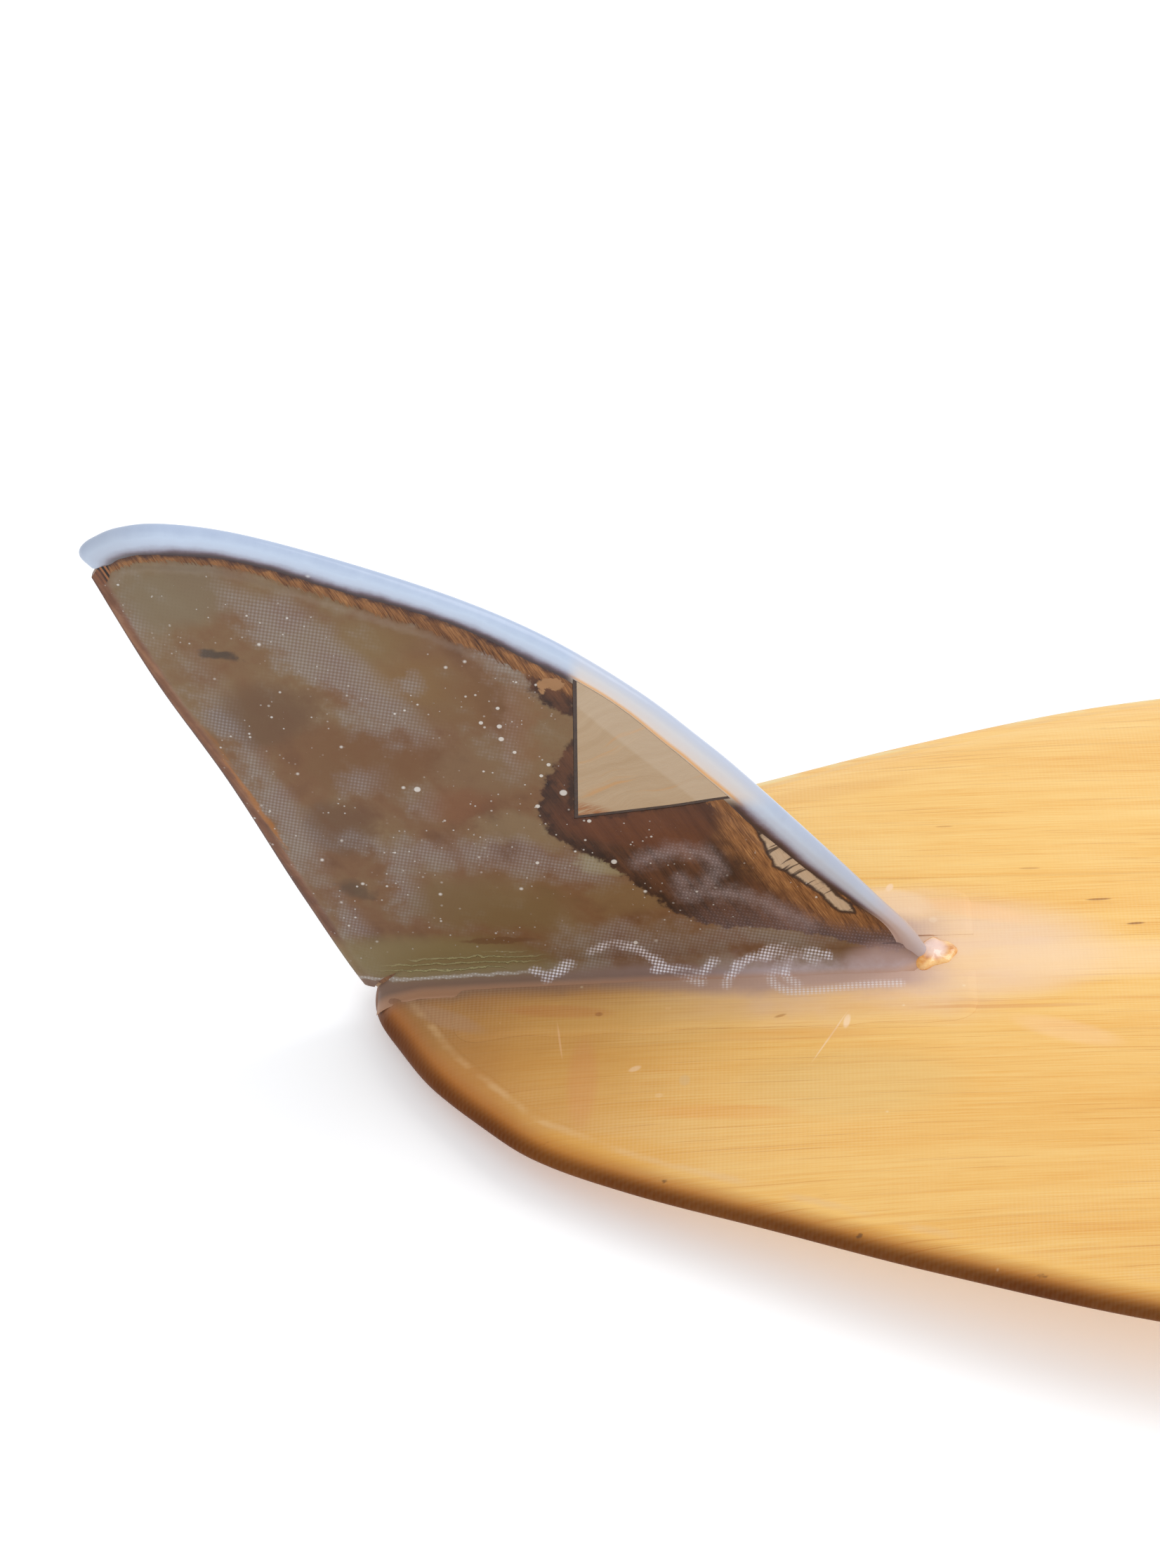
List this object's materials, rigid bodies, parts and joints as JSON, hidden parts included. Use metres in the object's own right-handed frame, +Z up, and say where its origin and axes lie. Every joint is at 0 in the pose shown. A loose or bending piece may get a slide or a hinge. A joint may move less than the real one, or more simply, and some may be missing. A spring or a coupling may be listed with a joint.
{
  "type": "surfboard",
  "caption": "Clear-glassed balsa longboard lying bottom up, with a raked plywood fin glassed onto the tail and a cast resin leading edge.",
  "frame": {"origin": "middle of the bounding box's length and width, on the surface that the board lies on", "axes": "+X towards the nose, +Y towards the surfer's right rail, +Z up out of the bottom, along the fin"},
  "size_m": [3.0216, 0.5678, 0.274],
  "materials": {
    "balsa": "raw planed balsa, under the glass",
    "board_glass": "aged clear fibreglass laminate over honey-coloured balsa, gloss",
    "fin_veneer": "dark reddish-brown plywood veneer under clear resin",
    "insert_ply": "pale plywood, clear coated",
    "glue": "dark cured glue",
    "white_resin": "milky blue-white cast resin, gloss",
    "fin_glass": "fibreglass cloth with air bubbles over brown plywood, gloss",
    "fillet_resin": "hazy resin and glass roving",
    "amber_resin": "amber resin, high gloss"
  },
  "bodies": {
    "root": {"plank_centre": "balsa", "plank_inner_left": "balsa", "plank_inner_right": "balsa", "plank_outer_left": "balsa", "plank_outer_right": "balsa", "rail_strip_left": "balsa", "rail_strip_right": "balsa", "bottom_laminate": "board_glass", "deck_laminate": "board_glass", "foot_cloth_left": "board_glass", "foot_cloth_right": "board_glass", "fin_core_ply": "fin_veneer", "fin_cross_ply_left": "fin_veneer", "fin_cross_ply_right": "fin_veneer", "fin_face_ply_left": "fin_veneer", "fin_face_ply_right": "fin_veneer", "fin_repair_insert": "insert_ply", "fin_repair_seam": "glue", "fin_bead": "white_resin", "fin_cloth_left": "fin_glass", "fin_cloth_right": "fin_glass", "fin_fillet_left": "fillet_resin", "fin_fillet_right": "fillet_resin", "resin_drip": "amber_resin"}
  },
  "joints": []
}
